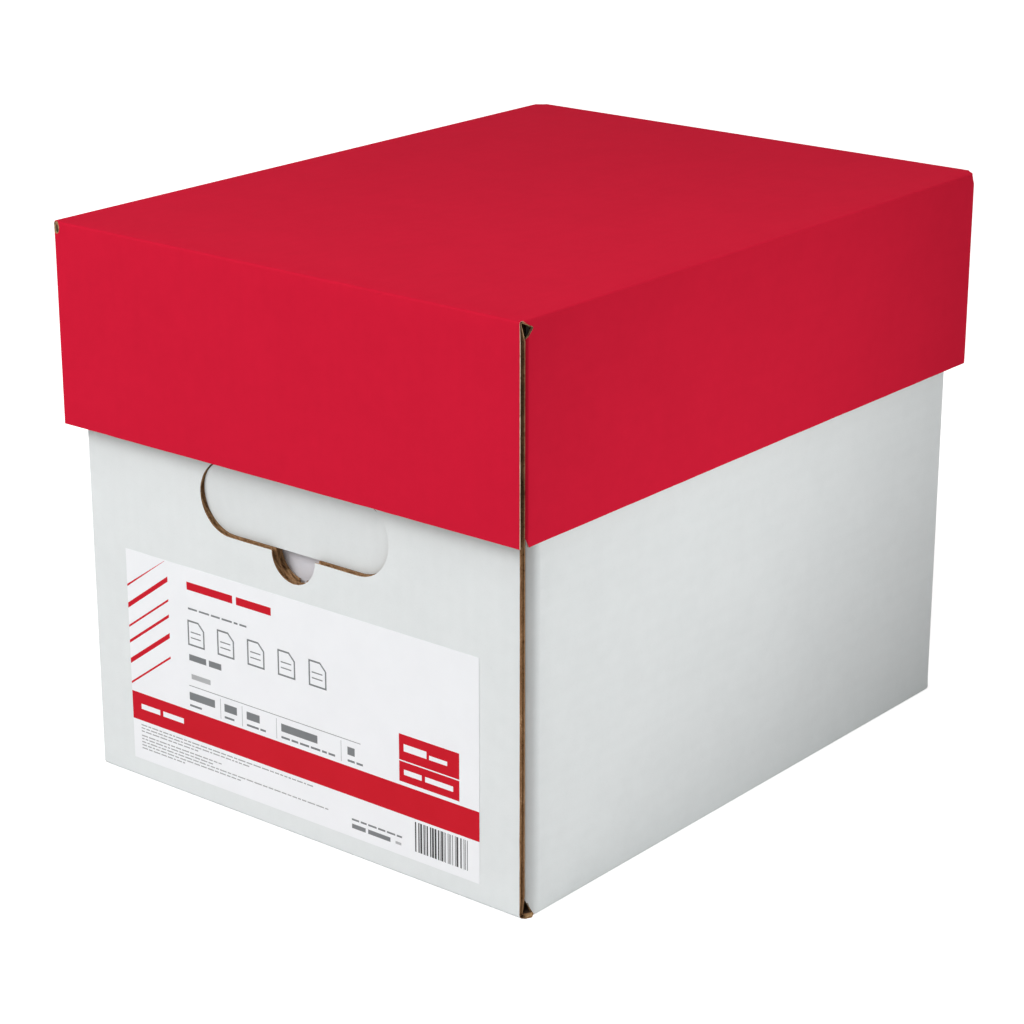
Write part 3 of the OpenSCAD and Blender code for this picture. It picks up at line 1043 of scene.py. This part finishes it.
def look_axes(azimuth, pitch):
    """Forward, right and up of a camera that looks along azimuth and down by pitch."""
    level = math.cos(pitch)
    forward = Vector((-math.sin(azimuth) * level, math.cos(azimuth) * level, -math.sin(pitch)))
    right = Vector((math.cos(azimuth), math.sin(azimuth), 0))
    return forward, right, right.cross(forward)


def turn_to(thing, place, direction):
    """Places a camera or a light so that it looks along a direction."""
    thing.location = place
    thing.rotation_mode = "QUATERNION"
    thing.rotation_quaternion = direction.to_track_quat("-Z", "Y")


def make_camera():
    """The photograph's view, as fitted to the carton's corners."""
    forward, right, up = look_axes(CAMERA_AZIMUTH, CAMERA_PITCH)
    near_corner = Vector((LID_HIGH.x, LID_LOW.y, CARTON_HEIGHT / 2))
    data = bpy.data.cameras.new("camera")
    data.sensor_width = SENSOR_WIDTH
    data.lens = FOCAL_LENGTH
    camera = add_object("camera", data)
    turn_to(camera, near_corner - forward * CAMERA_DISTANCE - right * CAMERA_RIGHT - up * CAMERA_UP, forward)
    bpy.context.scene.camera = camera


def shown_rays(owner):
    """1 for the rays that show the background, seen straight on, mirrored or through something clear."""
    path = add_node(owner, "ShaderNodeLightPath").outputs
    shown = path["Is Camera Ray"]
    for name in ("Is Glossy Ray", "Is Transmission Ray"):
        shown = maths(owner, "MAXIMUM", shown, path[name])
    return shown


def make_floor():
    """A pale round floor that shows as white to the camera and keeps the carton's soft shadow."""
    radius, sides = 6.0, 64
    angles = np.linspace(0, 2 * math.pi, sides, endpoint=False)
    points = [(radius * math.cos(a), radius * math.sin(a), 0) for a in angles]
    data = bpy.data.meshes.new("floor")
    data.from_pydata(points, [], [tuple(range(sides))])
    material, shader = new_material("floor", 0.9, 0.1)
    shader.inputs["Base Color"].default_value = (0.86, 0.86, 0.86, 1)
    glow = add_node(material, "ShaderNodeEmission", {"Color": (1, 1, 1, 1), "Strength": 0.72})
    dark = add_node(material, "ShaderNodeEmission", {"Color": (0, 0, 0, 1), "Strength": 0.0})
    shown = {0: shown_rays(material), 1: dark.outputs[0], 2: glow.outputs[0]}
    lit = add_node(material, "ShaderNodeMixShader", shown)
    both = add_node(material, "ShaderNodeAddShader", {0: lit.outputs[0], 1: shader.outputs[0]})
    output = material.node_tree.nodes["Material Output"]
    material.node_tree.links.new(both.outputs[0], output.inputs["Surface"])
    data.materials.append(material)
    add_object("floor", data)


def add_light(name, kind, place, aim, power, **settings):
    """A light of a kind, aimed at a point and hidden from the camera."""
    data = bpy.data.lights.new(name, kind)
    data.energy = power
    for key, value in settings.items():
        setattr(data, key, value)
    light = add_object(name, data)
    turn_to(light, place, Vector(aim) - Vector(place))
    light.visible_camera = False


def make_world(ambient):
    """Even light from all round, in front of a white background."""
    world = bpy.data.worlds.new("studio")
    world.use_nodes = True
    background = world.node_tree.nodes["Background"]
    background.inputs["Color"].default_value = (1, 1, 1, 1)
    shown = {"Value": shown_rays(world), "To Min": ambient, "To Max": 1.0}
    strength = add_node(world, "ShaderNodeMapRange", shown).outputs["Result"]
    world.node_tree.links.new(strength, background.inputs["Strength"])
    bpy.context.scene.world = world


make_camera()
make_floor()
make_world(0.34)
add_light("key", "AREA", (-1.1, -1.9, 1.7), (0, 0, 0.12), 37.5, shape="DISK", size=1.2)
add_light("overhead", "AREA", (0.05, -0.5, 0.95), (0, 0, 0.12), 1.9, shape="DISK", size=0.6)
# a spot that fades from its axis to the edge of its cone
soft = {"spot_size": math.radians(16), "spot_blend": 1.0, "shadow_soft_size": 0.12}
add_light("side", "SPOT", (1.2, 1.2, 0.5), (0.12, -0.085, 0.14), 91, **soft)
bpy.context.scene.view_settings.view_transform = "Standard"
